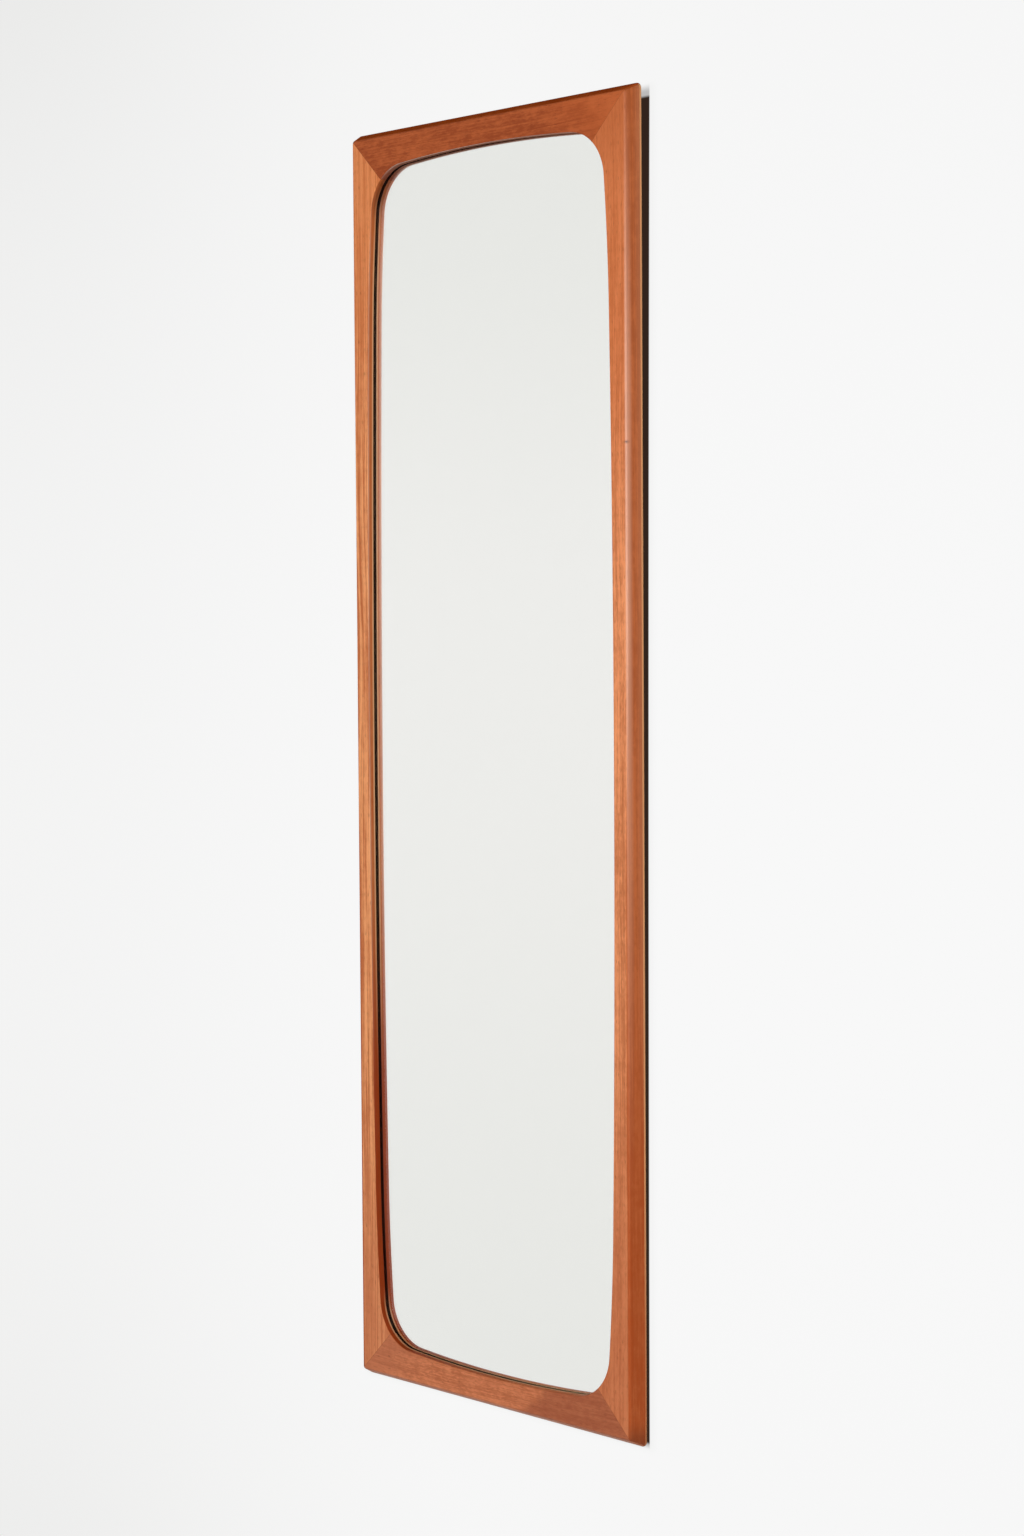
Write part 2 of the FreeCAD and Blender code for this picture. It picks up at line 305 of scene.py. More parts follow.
def oiled_teak(name, is_stile, seed, streaky, face, side, wall, fades, shine, knot=None):
    """Straight-grained oiled teak, its grain running along the member. The face and the leaning side
    have a light and a deep tone and the opening's wall has one, and these tones also paint light and
    shade; streaky is how strongly the grain shows, a fade is where the face starts to take another
    tone, where it ends and that tone, and a knot is its middle. All places are in metres."""
    material, shader, place = new_finish(name, {"Specular IOR Level": shine, "IOR": 1.46,
                                                "Coat Roughness": 0.42, "Coat IOR": 1.5})
    x, y, z = place.axes()
    across, along = (x, z) if is_stile else (z, x)
    away = abs(z - frame_middle * MM)
    upper, below_top = z.rise(-0.4, 0.0), z.rise(0.0, -0.09)
    fading = 1 - x.rise(-0.02, 0.12) * 0.6

    # Grain, from broad bands down to the pores
    drift = place.point(across * 9 + seed, y * 9, along * 2.6).cloud(detail=1.0) - 0.5
    streak = place.point(across * 430 + drift * 9 + seed, y * 430, along * 5.5).cloud(detail=3.0, rough=0.6)
    thread = place.point(across * 1700 + drift * 20, y * 1700 + seed, along * 24).cloud(detail=1.0)
    band = place.point(across * 120 + seed * 2, y * 60, along * 3.6 + drift).cloud()
    flame = place.point(across * 90, y * 60 + seed, along * 60).cloud(detail=3.0, rough=0.7)
    fleck = place.point(across * 520 + flame * 3, y * 400 + seed, along * 130).cloud(rough=0.6)
    pore = place.point(across * 2900 + seed, y * 2900, along * 130).cloud(detail=0.0).rise(0.66, 0.76)
    depth = 0.5 + (streak - 0.5) * (2.3 * streaky) + (thread - 0.5) * 0.7 + (band - 0.5) * (1.4 * streaky)
    depth = depth + (flame - 0.5) * (1.5 - 0.9 * streaky) + (fleck - 0.5) * (1.6 - 1.3 * streaky)

    # Front face, its far ends, partly painted shade and partly the wood's own tone, and its pores
    light, deep = face
    colour = depth.rise(0.1, 0.9).blend(tone(*deep), tone(*light))
    reach = along if is_stile else along + (away - 0.583) * 1.3 + (flame - 0.5) * 0.05
    for start, end, far_tone in fades:
        colour = (reach.rise(start, end) * 0.6).blend(colour, tone(*far_tone))
    colour = (pore * 0.42).blend(colour, tone(104, 46, 18))

    # Leaning outer side, which starts a little farther in on the lower half of a stile
    if is_stile:
        leaning = (abs(x) + z.rise(-0.46, -0.66) * 0.0028).rise(0.1808, 0.1817)
    else:
        leaning = away.rise(0.5931, 0.5940)
    # The side tones paint shade on the stiles and bottom rail and light on the top rail
    light, deep = side
    colour = leaning.blend(colour, depth.rise(0.12, 0.88).blend(tone(*deep), tone(*light)))

    # Wall of the opening, with painted shade, redder where it turns from the light and dark in the top corner
    if is_stile:
        within = abs(x).rise(0.1725, 0.1715)
        painted_wall_shade = z.rise(-0.62, -0.88)
    else:
        within = away.rise(0.581, 0.58)
        painted_wall_shade = x.rise(0.09, -0.15) * z.rise(-1.0, -1.1) + x.rise(-0.115, -0.155) * upper
    inner = y.rise(-0.0141, -0.0134) * within
    # The wall tone paints shade on the stiles and light on the rails
    colour = (inner * 0.8).blend(colour, tone(*wall))
    colour = (inner * painted_wall_shade * 0.92).blend(colour, tone(172, 60, 4))
    painted_corner_shade = inner * z.rise(-0.045, -0.012) * fading
    colour = (painted_corner_shade * (0.34 + y.rise(-0.0125, -0.0095) * 0.26)).blend(colour, tone(60, 22, 6))

    # Painted highlights along the wall's front arris and its lip, and painted shade in the dark gap beside
    # the glass
    lip = inner * y.rise(-0.0095, -0.0087) * below_top
    if is_stile:
        arris = inner * y.rise(-0.0124, -0.0137) * z.rise(-0.9, -0.6) * below_top
        colour = (arris * 0.55).blend(colour, tone(255, 222, 192))
        lip = lip * y.rise(-0.0073, -0.0077) * (1 - painted_wall_shade + z.rise(-1.06, -1.095) * 0.7)
        gap = y.rise(-0.0076, -0.0073)
    else:
        arris = inner * y.rise(-0.0118, -0.0132) * upper * x.rise(-0.145, -0.105)
        colour = (arris * 0.9).blend(colour, tone(255, 232, 216))
        lip = lip * (1 - painted_wall_shade * 0.4)
        gap = y.rise(-0.0072, -0.0070) * fading
    colour = (lip * 0.95).blend(colour, tone(255, 196, 142))
    colour = (gap * within * y.rise(-0.0030, -0.0036)).blend(colour, tone(18, 7, 3))

    # A stile's outside: darker and redder below, dark at the foot, then painted sheen, highlight and light
    if is_stile:
        low = leaning * z.rise(-0.62, -0.95) * (0.7 - (depth - 0.5) * 0.7)
        colour = low.blend(colour, tone(186, 80, 24))
        foot = leaning * z.rise(-1.125, -1.15)
        colour = (foot * 0.6).blend(colour, tone(110, 50, 22))
        # Painted sheen: the side paler and greyer toward its back
        painted_rear_sheen = leaning * y.rise(-0.0085, -0.001) * z.rise(-0.95, -0.6)
        colour = (painted_rear_sheen * 0.4).blend(colour, tone(200, 134, 98))
        # Painted highlight along the front arris, strongest on the upper half
        painted_arris_highlight = y.rise(-0.0082, -0.0124) * abs(x).rise(0.1790, 0.1802) * z.rise(-0.98, -0.36)
        colour = (painted_arris_highlight * z.rise(0.08, -0.25) * 0.62).blend(colour, tone(240, 172, 138))
        # Painted light: a thin pale line along the back edge
        painted_back_edge_light = leaning * y.rise(-0.0022, -0.0015) * y.rise(0.0, -0.0002)
        colour = (painted_back_edge_light * (0.9 - z.rise(-0.92, -1.1) * 0.55)).blend(colour, tone(255, 182, 122))

    # Fine dark joint at the mitre, dusty back without oil, and the knot
    joint = abs(away - abs(x) - mitre_rise * MM)
    colour = (joint.rise(0.00034, 0.00012) * 0.5).blend(colour, tone(96, 44, 20))
    back = y.rise(-0.0003, -0.0001)
    dusty = (depth * 0.5 + flame * 0.5).rise(0.25, 0.8).blend(tone(138, 94, 64), tone(192, 142, 102))
    colour = (back * 0.85).blend(colour, dusty)
    if knot:
        squashed = place.point(x - knot[0], y - knot[1], (z - knot[2]) * math.sqrt(3))
        ripple = squashed.length() + (flame - 0.5) * 0.002
        colour = (ripple.rise(0.0042, 0.0008) * 0.45).blend(colour, tone(120, 56, 26))
        colour = (ripple.rise(0.0016, 0.0006) * 0.7).blend(colour, tone(84, 36, 18))
    colour.into(shader, "Base Color")
    (0.46 + (streak - 0.5) * 0.2 + pore * 0.2 + back * 0.3).into(shader, "Roughness")
    (thread * 0.5 + streak * 0.5 - pore).relief(0.00012, 0.35).into(shader, "Normal")

    # Sheen of the oil on the outer arris, or on a rail's face, and on the opening's arris
    if is_stile:
        sheen = y.rise(-0.0108, -0.0128) * abs(x).rise(0.1788, 0.1798)
        sheen = sheen * z.rise(-0.64, -0.38) * z.rise(0.15, -0.25)
    else:
        sheen = y.rise(-0.0136, -0.0142) * 0.35
    rim = y.rise(-0.0095, -0.0125) * y.rise(-0.01448, -0.0142) * within * z.rise(-1.05, -0.6) * below_top
    (sheen + rim * 0.8).into(shader, "Coat Weight")
    return material


# Tones of each member; the rails' darker faces paint the shade of grain that runs across the light
teak_looks = {
    "left_stile": {
        "seed": 3.7, "streaky": 1.0, "shine": 0.22,
        "face": ((255, 172, 114), (200, 110, 62)), "side": ((200, 104, 56), (170, 82, 40)),
        "wall": (222, 112, 50),
        "fades": ((-0.36, 0.0, (228, 130, 72)), (-0.85, -1.1, (216, 126, 82)))},
    "right_stile": {
        "seed": 11.3, "streaky": 0.7, "shine": 0.22,
        "face": ((252, 160, 106), (204, 117, 70)), "side": ((208, 111, 59), (184, 93, 45)),
        "wall": (214, 112, 60),
        "fades": ((-0.42, -0.15, (210, 110, 56)), (-0.66, -1.1, (194, 102, 60)),
                  (-0.07, 0.03, (190, 98, 50))),
        "knot": (0.1806, -0.0140, -0.2629)},
    "bottom_rail": {
        "seed": 23.9, "streaky": 0.45, "shine": 0.1,
        "face": ((230, 138, 90), (192, 104, 61)), "side": ((214, 128, 84), (186, 100, 60)),
        "wall": (246, 138, 78),
        "fades": ((-0.08, -0.17, (194, 110, 72)), (0.045, 0.066, (150, 70, 38)))},
    "top_rail": {
        "seed": 31.1, "streaky": 0.45, "shine": 0.0,
        "face": ((191, 97, 51), (157, 71, 32)), "side": ((214, 98, 40), (186, 78, 26)),
        "wall": (250, 180, 152),
        "fades": ((0.06, 0.15, (190, 92, 44)), (0.12, 0.168, (206, 108, 58)))},
}
for name, is_stile, way in (("left_stile", True, -1), ("right_stile", True, 1),
                            ("bottom_rail", False, -1), ("top_rail", False, 1)):
    teak = oiled_teak("oiled_teak_" + name, is_stile, **teak_looks[name])
    new_piece(name + "_teak", member_mesh(is_stile, way), "frame", name, teak)

# Mirror glass
# A 3 mm sheet of float glass with ground arrises, standing in the rebate behind the lip. A hair of
# air parts it here from the lip and from its silver, so that no two faces share one place.
glass_thickness, glass_side_room, glass_top_room = 3.0, 1.0, 2.0
glass_arris = 0.4
lip_gap, silver_gap, silver_thickness = 0.03, 0.02, 0.02
glass_rear = lip_back + glass_thickness
silver_face = glass_rear - silver_thickness
glass_half_width = rebate_half_width - glass_side_room
rebate_foot = frame_middle - rebate_half_height
rebate_head = frame_middle + rebate_half_height
glass_top = rebate_head - glass_top_room


def block_mesh(low, high, arris, steps=2):
    """A block between two corners, in millimetres, with its edges eased."""
    made = bmesh.new()
    bmesh.ops.create_cube(made, size=1.0)
    for vert in made.verts:
        vert.co = Vector([(a + b) / 2 + (b - a) * c for a, b, c in zip(low, high, vert.co)]) * MM
    bmesh.ops.bevel(made, geom=list(made.edges), offset=arris * MM, segments=steps, profile=0.5,
                    affect="EDGES")
    return made


def sheet_rim(x, z, half, top, width, end=0.1):
    """1 along the rim of a sheet that stands in the rebate, over a width given in millimetres."""
    sides = abs(x).rise((half - width) * MM, (half - end) * MM)
    foot = z.rise((rebate_foot + width) * MM, (rebate_foot + end) * MM)
    head = z.rise((top - width) * MM, (top - end) * MM)
    return (sides + foot + head).rise(0.0, 1.0)


float_glass, shader, place = new_finish("clear_float_glass", {"Transmission Weight": 1.0, "IOR": 1.52,
                                                              "Base Color": tone(255, 255, 255)})
x, y, z = place.axes()
ground = sheet_rim(x, z, glass_half_width, glass_top, 0.5)
(ground * 0.35 + place.point(x * 3, y, z * 3).cloud() * 0.004).into(shader, "Roughness")
new_piece("glass_sheet",
          block_mesh((-glass_half_width, lip_back + lip_gap, rebate_foot),
                     (glass_half_width, silver_face - silver_gap, glass_top), glass_arris),
          "frame", "mirror_glass", float_glass, crease=5)

# Silvering and its paint
# A bright silver coat on the back of the glass, sealed with a grey-brown protective paint. It stops
# short of the ground arrises and blooms a little along its rim.
silver, shader, place = new_finish("bright_silvering", {"Metallic": 1.0})
x, y, z = place.axes()
edge = sheet_rim(x, z, glass_half_width, glass_top, 2.5)
bloom = (edge * place.point(x * 260, y, z * 260).cloud(detail=3.0)).rise(0.5, 0.7)
haze = place.point(x * 2.2, y, z * 2.2).cloud()
clean = haze.blend(tone(251, 251, 250), tone(253, 253, 252))
(bloom * 0.6).blend(clean, tone(96, 88, 78)).into(shader, "Base Color")
(bloom * 0.4 + haze * 0.006).into(shader, "Roughness")
paint, shader, place = new_finish("mirror_back_paint", {"Specular IOR Level": 0.4})
x, y, z = place.axes()
brush = place.point(x * 900, y, z * 40).cloud()
speck = place.cloud(1400, 1.0).rise(0.68, 0.74)
coat = brush.blend(tone(96, 84, 74), tone(116, 103, 92))
(speck * 0.5).blend(coat, tone(70, 60, 52)).into(shader, "Base Color")
(0.4 + brush * 0.25).into(shader, "Roughness")
brush.relief(0.00004, 0.5).into(shader, "Normal")
coat_mesh = block_mesh((-glass_half_width + glass_arris, silver_face, rebate_foot + glass_arris),
                       (glass_half_width - glass_arris, glass_rear, glass_top - glass_arris),
                       arris=0.004, steps=1)
silvering = new_piece("silver_and_paint", coat_mesh, "frame", "mirror_glass", silver, crease=5)
silvering.data.materials.append(paint)
for face in silvering.data.polygons:
    face.material_index = 0 if face.normal.y < -0.5 else 1

# Mitre tongues
# Loose strips of birch plywood, glued in blind grooves across the mitres, in the middle of the
# lip's depth.
ply, shader, place = new_finish("birch_plywood", {"Specular IOR Level": 0.3})
x, y, z = place.axes()
layer = place.point(x * 20, y * 2400, z * 20).cloud(detail=0.0).rise(0.42, 0.58)
fibre = place.point((x + z) * 200, y * 900, (x - z) * 2600).cloud()
birch = fibre.blend(tone(206, 170, 122), tone(228, 200, 158))
(layer * 0.4).blend(birch, tone(160, 118, 76)).into(shader, "Base Color")
(0.66 + fibre * 0.1).into(shader, "Roughness")
fibre.relief(0.00008, 0.3).into(shader, "Normal")
for name in ("tongue_top_left", "tongue_top_right", "tongue_bottom_left", "tongue_bottom_right"):
    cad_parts[name].data.materials.clear()
    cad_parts[name].data.materials.append(ply)

# Back board
# A sheet of 2.5 mm brown hardboard, its smooth face outward, cut to the rebate and standing on its
# bottom wall straight behind the glass.
board_thickness, board_side_room, board_top_room = 2.5, 1.2, 2.4
board_half_width = rebate_half_width - board_side_room
board_top = rebate_head - board_top_room
board_back = glass_rear + board_thickness
hardboard, shader, place = new_finish("brown_hardboard", {"Specular IOR Level": 0.35})
x, y, z = place.axes()
mottle = place.cloud(60, 4.0, 0.65)
flock = place.cloud(900, 3.0, 0.7)
hair = place.point(x * 2600 + flock * 6, y * 900, z * 420 + flock * 6).cloud(detail=1.0).rise(0.6, 0.72)
pressed = (mottle * 0.6 + flock * 0.4).rise(0.36, 0.64).blend(tone(96, 66, 44), tone(132, 95, 64))
pressed = (hair * 0.3).blend(pressed, tone(168, 130, 92))
sawn = sheet_rim(x, z, board_half_width, board_top, 0.5)
(sawn * 0.5).blend(pressed, tone(150, 116, 84)).into(shader, "Base Color")
(0.42 + flock * 0.22 + sawn * 0.2).into(shader, "Roughness")
(flock + mottle).relief(0.00012, 0.3).into(shader, "Normal")
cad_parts["back_board"].data.materials.clear()
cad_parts["back_board"].data.materials.append(hardboard)

# Board points
# Flat pointed strips of soft steel, pressed into the rebate's wall over the board, five to each
# side and two to each end.
side_shares = (-0.43, -0.22, 0.0, 0.22, 0.43)
end_shares = (-0.3, 0.3)
point_thickness, point_half_width, point_arris = 0.5, 2.5, 0.09
point_tail, point_shoulder, point_tip = -8.0, 3.5, 7.0


def placed(mesh_code, x, z, turn=0):
    """Mesh code drawn about nought, turned about Y by so many degrees and set at its x and z."""
    spot = Matrix.Translation((x * MM, 0, z * MM))
    bmesh.ops.transform(mesh_code, verts=mesh_code.verts,
                        matrix=spot @ Matrix.Rotation(math.radians(turn), 4, "Y"))
    return mesh_code


def joined(meshes):
    """Several mesh codes in one."""
    whole = bmesh.new()
    for mesh_code in meshes:
        kept = bpy.data.meshes.new("kept")
        mesh_code.to_mesh(kept)
        whole.from_mesh(kept)
        mesh_code.free()
        bpy.data.meshes.remove(kept)
    return whole


def point_mesh():
    """One point lying on the board, its tip in the wood beyond x = 0."""
    made = bmesh.new()
    outline = [(point_tail, -point_half_width), (point_shoulder, -point_half_width), (point_tip, 0.0),
               (point_shoulder, point_half_width), (point_tail, point_half_width)]
    face = made.faces.new([made.verts.new((x * MM, board_back * MM, z * MM)) for x, z in outline])
    pushed = bmesh.ops.extrude_face_region(made, geom=[face])
    top = [v for v in pushed["geom"] if isinstance(v, bmesh.types.BMVert)]
    bmesh.ops.translate(made, verts=top, vec=(0, point_thickness * MM, 0))
    bmesh.ops.bevel(made, geom=list(made.edges), offset=point_arris * MM, segments=2, profile=0.5,
                    affect="EDGES")
    return made


points = []
for share in side_shares:
    for way, turn in ((1, 0), (-1, 180)):
        level = frame_middle + share * 2 * rebate_half_height
        points.append(placed(point_mesh(), way * rebate_half_width, level, turn))
for share in end_shares:
    for way, turn in ((1, -90), (-1, 90)):
        level = frame_middle + way * rebate_half_height
        points.append(placed(point_mesh(), share * 2 * rebate_half_width, level, turn))
soft_steel, shader, place = new_finish("soft_steel_strip", {"Metallic": 1.0})
tarnish = place.cloud(500, 4.0, 0.6)
rust = place.cloud(240, 3.0).rise(0.58, 0.68)
grey = tarnish.blend(tone(122, 120, 116), tone(176, 174, 168))
(rust * 0.6).blend(grey, tone(112, 66, 38)).into(shader, "Base Color")
(0.38 + tarnish * 0.25 + rust * 0.2).into(shader, "Roughness")
(tarnish + rust).relief(0.00006, 0.4).into(shader, "Normal")
new_piece("pressed_board_points", joined(points), "frame", "board_points", soft_steel)

# Hanger straps
# A strip of zinc-plated steel folded round the ring's base, its two leaves screwed flat on the
# back of each stile.
hands = ((-1, "left"), (1, "right"))
hanger_x = 177.75
eye_z = -12.0
eye_room = 1.05
leaf = 0.8
eye_y = eye_room + leaf
strap_half = 3.5
strap_arris = 0.16
strap_end = -32.5
strap_corner = 2.8
corner_points, eye_points = 8, 24
eye_start, eye_sweep = 192, 264
inner_neck = ((leaf / 2, 6.0), (leaf / 2, 2.2))
outer_neck = ((1.72, 2.0), (leaf * 1.5, 3.1), (leaf * 1.5, 6.0))
screw_levels = (-19.0, -28.0)
hole_radius, sink_radius = 1.25, 2.36
sink_start, sink_end = 0.38, 1.62
cut_start, cut_end = -1, 3


def strap_line():
    """The strip's middle line from one tail up round the eye and down to the other, as y and z."""
    quarter = [math.pi / 2 * step / corner_points for step in range(corner_points + 1)]
    tail = [strap_end + strap_corner * (1 - math.cos(turn)) for turn in quarter]
    line = [(leaf / 2, level) for level in tail] + [(y, eye_z - below) for y, below in inner_neck]
    radius = eye_room + leaf / 2
    for step in range(1, eye_points + 1):
        turn = math.radians(eye_start - eye_sweep * step / eye_points)
        line.append((eye_y + radius * math.cos(turn), eye_z + radius * math.sin(turn)))
    line += [(y, eye_z - below) for y, below in outer_neck]
    return line + [(leaf * 1.5, level) for level in reversed(tail)]


def strap_mesh(side):
    """The folded strip as a swept section with eased edges and rounded tails."""
    made = bmesh.new()
    line = [Vector(point) for point in strap_line()]
    rows = []
    for step, point in enumerate(line):
        before, after = line[max(step - 1, 0)], line[min(step + 1, len(line) - 1)]
        out = Vector((-(after - before).y, (after - before).x)).normalized()
        short = max(strap_corner - (point.y - strap_end), 0.0)
        wide = strap_half - strap_corner + math.sqrt(strap_corner ** 2 - short ** 2)
        thick = leaf / 2
        section = [(-wide, -thick + strap_arris), (-wide + strap_arris, -thick), (wide - strap_arris, -thick),
                   (wide, -thick + strap_arris)]
        section += [(-x, -depth) for x, depth in section]
        row = []
        for x, depth in section:
            spot = point + out * depth
            row.append(made.verts.new(((side * hanger_x + x) * MM, spot.x * MM, spot.y * MM)))
        rows.append(row)
    skin(made, rows, rows_close=True, last_meets_first=False)
    made.faces.new(rows[0])
    made.faces.new(list(reversed(rows[-1])))
    return made


def lathe_mesh(profile, sides=32):
    """A turned body: radius and depth pairs, in millimetres, turned about the Y axis."""
    made = bmesh.new()
    rows = []
    for radius, depth in profile:
        if radius == 0:
            rows.append([made.verts.new((0, depth * MM, 0))] * sides)
            continue
        angles = [2 * math.pi * k / sides for k in range(sides)]
        rows.append([made.verts.new((radius * MM * math.cos(a), depth * MM, radius * MM * math.sin(a)))
                     for a in angles])
    for row, following in zip(rows, rows[1:]):
        for k in range(sides):
            after = (k + 1) % sides
            corners = (row[k], row[after], following[after], following[k])
            made.faces.new(list(dict.fromkeys(corners)))
    return made


def carved(piece, cutter_code):
    """Takes the cutter's shape out of the piece."""
    bmesh.ops.recalc_face_normals(cutter_code, faces=cutter_code.faces)
    mesh = bpy.data.meshes.new("cutter")
    cutter_code.to_mesh(mesh)
    cutter_code.free()
    cutter = bpy.data.objects.new("cutter", mesh)
    bpy.context.scene.collection.objects.link(cutter)
    cut = piece.modifiers.new("cut", "BOOLEAN")
    cut.operation = "DIFFERENCE"
    cut.solver = "EXACT"
    cut.object = cutter
    result = bpy.data.meshes.new_from_object(piece.evaluated_get(bpy.context.evaluated_depsgraph_get()))
    piece.modifiers.clear()
    piece.data = result
    result.set_sharp_from_angle(angle=math.radians(crease_angle))
    bpy.data.objects.remove(cutter)


zinc, shader, place = new_finish("zinc_plated_strip", {"Metallic": 1.0})
x, y, z = place.axes()
spangle = place.cloud(420)
drawn = place.point(x * 5200, y * 900, z * 120).cloud(detail=1.0)
stain = place.cloud(130, 3.0).rise(0.54, 0.7)
plate = spangle.blend(tone(168, 166, 158), tone(206, 203, 194))
(stain * 0.55).blend(plate, tone(128, 112, 88)).into(shader, "Base Color")
(0.26 + spangle * 0.14 + stain * 0.2).into(shader, "Roughness")
(drawn + spangle).relief(0.00003, 0.4).into(shader, "Normal")
for side, hand in hands:
    strap = new_piece(hand + "_folded_strap", strap_mesh(side), "frame",
                      hand + "_hanger_strap", zinc)
    for level in screw_levels:
        hole = lathe_mesh([(0, cut_start), (hole_radius, cut_start), (hole_radius, sink_start),
                           (sink_radius, sink_end), (sink_radius, cut_end), (0, cut_end)])
        carved(strap, placed(hole, side * hanger_x, level))

# Hanger screws
# Steel wood screws with countersunk slotted heads, two through each strap into the stile. Plain
# turned rings stand for their threads.
head_radius, shank_radius, root_radius = 2.3, 1.2, 0.86
thread_turns, straight_turns, thread_pitch, tip_taper = 13, 9, 0.7, 0.24
screw_tip = -10.35
slot_bottom, slot_half, slot_reach = 1.1, 0.35, 3
upper_slot_turn, lower_slot_turn = 24, 61
head_face, head_foot = leaf * 2, 0.4
rim_in, rim_down, rim_end = 0.08, 0.06, 0.12
first_crest, first_root = -0.6, -0.95
screw_profile = [(0, head_face), (head_radius - rim_in, head_face), (head_radius, head_face - rim_down),
                 (head_radius, head_face - rim_end), (shank_radius, head_foot)]
for turn in range(thread_turns):
    taper = 1.0 - tip_taper * max(turn - straight_turns, 0)
    down = thread_pitch * turn
    screw_profile += [(shank_radius * taper, first_crest - down), (root_radius * taper, first_root - down)]
screw_profile.append((0, screw_tip))
bright_steel, shader, place = new_finish("screw_steel", {"Metallic": 1.0})
smut = place.cloud(900, 3.0)
smut.rise(0.35, 0.7).blend(tone(186, 182, 172), tone(120, 112, 100)).into(shader, "Base Color")
(0.24 + smut * 0.22).into(shader, "Roughness")
smut.relief(0.00004, 0.4).into(shader, "Normal")
screw_spots = []
for side, hand in hands:
    for level, turn in zip(screw_levels, (upper_slot_turn * side, lower_slot_turn)):
        screw_spots.append((side * hanger_x, level, turn))
screws = [placed(lathe_mesh(screw_profile), *spot) for spot in screw_spots]
wood_screws = new_piece("slotted_screws", joined(screws), "frame", "hanger_screws", bright_steel)
for spot in screw_spots:
    slot = block_mesh((-slot_reach, slot_bottom, -slot_half), (slot_reach, slot_reach, slot_half),
                      arris=0.01, steps=1)
    carved(wood_screws, placed(slot, *spot))

# Hanger rings
# A triangle of 2 mm steel wire, bent to a rounded tip, whose base turns in the strap's eye. At rest
# it stands up behind the stile, where its tip takes the hook on the wall.
wire_radius = 1.0
ring_half = 5.2
ring_tip = 13.0
tip_radius = 2.2
base_radius = 1.25
base_points = (-2.0, -0.6, 0.6, 2.0)
base_bend_steps, tip_bend_steps = 12, 16


def ring_line():
    """The wire's middle line about the eye, closed, as x and z, with rounded bends."""
    tip_middle = ring_tip - tip_radius
    lean = math.acos(tip_radius / math.hypot(ring_half, tip_middle)) - math.atan2(tip_middle, ring_half)
    leg = Vector((tip_radius * math.cos(lean) - ring_half, tip_middle + tip_radius * math.sin(lean)))
    reach = base_radius / math.tan((math.pi - leg.angle(Vector((1, 0)))) / 2)
    bend = []
    for step in range(base_bend_steps + 1):
        turn = (lean + math.pi / 2) * step / base_bend_steps - math.pi / 2
        bend.append(Vector((ring_half - reach + base_radius * math.cos(turn),
                            base_radius + base_radius * math.sin(turn))))
    tip = []
    for step in range(tip_bend_steps + 1):
        turn = lean + (math.pi - 2 * lean) * step / tip_bend_steps
        tip.append(Vector((tip_radius * math.cos(turn), tip_middle + tip_radius * math.sin(turn))))
    other_bend = [Vector((-point.x, point.y)) for point in reversed(bend)]
    return [Vector((x, 0)) for x in base_points] + bend + tip + other_bend


def wire_mesh(line, x, y, z, sides=20):
    """Round wire along a closed flat line."""
    made = bmesh.new()
    rows = []
    for step, point in enumerate(line):
        ahead = (line[(step + 1) % len(line)] - line[step - 1]).normalized()
        out = Vector((ahead.y, -ahead.x))
        row = []
        for k in range(sides):
            turn = 2 * math.pi * k / sides
            spot = point + out * wire_radius * math.cos(turn)
            row.append(made.verts.new(((x + spot.x) * MM, (y + wire_radius * math.sin(turn)) * MM,
                                       (z + spot.y) * MM)))
        rows.append(row)
    skin(made, rows, rows_close=True, last_meets_first=True)
    return made


wire_steel, shader, place = new_finish("drawn_steel_wire", {"Metallic": 1.0})
wear = place.cloud(600, 3.0)
dull = place.cloud(160).rise(0.5, 0.66)
wire = wear.blend(tone(150, 146, 136), tone(200, 196, 184))
(dull * 0.5).blend(wire, tone(116, 96, 70)).into(shader, "Base Color")
(0.24 + wear * 0.2 + dull * 0.15).into(shader, "Roughness")
wear.relief(0.00004, 0.4).into(shader, "Normal")
for side, hand in hands:
    new_piece(hand + "_wire_ring", wire_mesh(ring_line(), side * hanger_x, eye_y, eye_z), hand + "_ring",
              hand + "_hanger_ring", wire_steel)

# Felt pads
# Discs of pressed wool felt, 2 mm thick, stuck to the back of the bottom corners. They rest on the
# wall, so that the frame doesn't mark it.
pad_in = 8.0
pad_profile = [(0, 0.0), (2.5, 0.0), (4.7, 0.0), (4.93, 0.18), (5.0, 0.5), (4.98, 1.2), (4.86, 1.7),
               (4.5, 1.93), (3.4, 2.0), (1.7, 2.0), (0, 2.0)]
pad_sides = 48
fray_from, fray, fray_scale, fray_shift = 4.0, 0.03, 2600, 7
felt, shader, place = new_finish("pressed_wool_felt", {"Specular IOR Level": 0.1, "Sheen Weight": 0.35,
                                                      "Sheen Roughness": 0.5})
x, y, z = place.axes()
tuft = place.cloud(900, 4.0, 0.7)
strand = place.point(x * 2400 + tuft * 9, y * 2400, z * 1100 + tuft * 9).cloud(detail=1.0)
wool = (tuft * 0.6 + strand * 0.4).rise(0.3, 0.7).blend(tone(92, 78, 64), tone(142, 124, 104))
wool.into(shader, "Base Color")
(0.9 + tuft * 0.08).into(shader, "Roughness")
(tuft + strand).relief(0.0003, 0.8).into(shader, "Normal")
for side, hand in hands:
    pad = lathe_mesh(pad_profile, pad_sides)
    for vert in pad.verts:
        out = Vector((vert.co.x, 0, vert.co.z))
        if out.length > fray_from * MM:
            shift = Vector((side * fray_shift, 0, 0))
            vert.co -= out * fray * (1 + noise.noise(vert.co * fray_scale + shift))
    pad_level = frame_middle - half_height + pad_in
    new_piece(hand + "_wool_pad", placed(pad, side * (half_width - pad_in), pad_level), "frame",
              hand + "_felt_pad", felt)

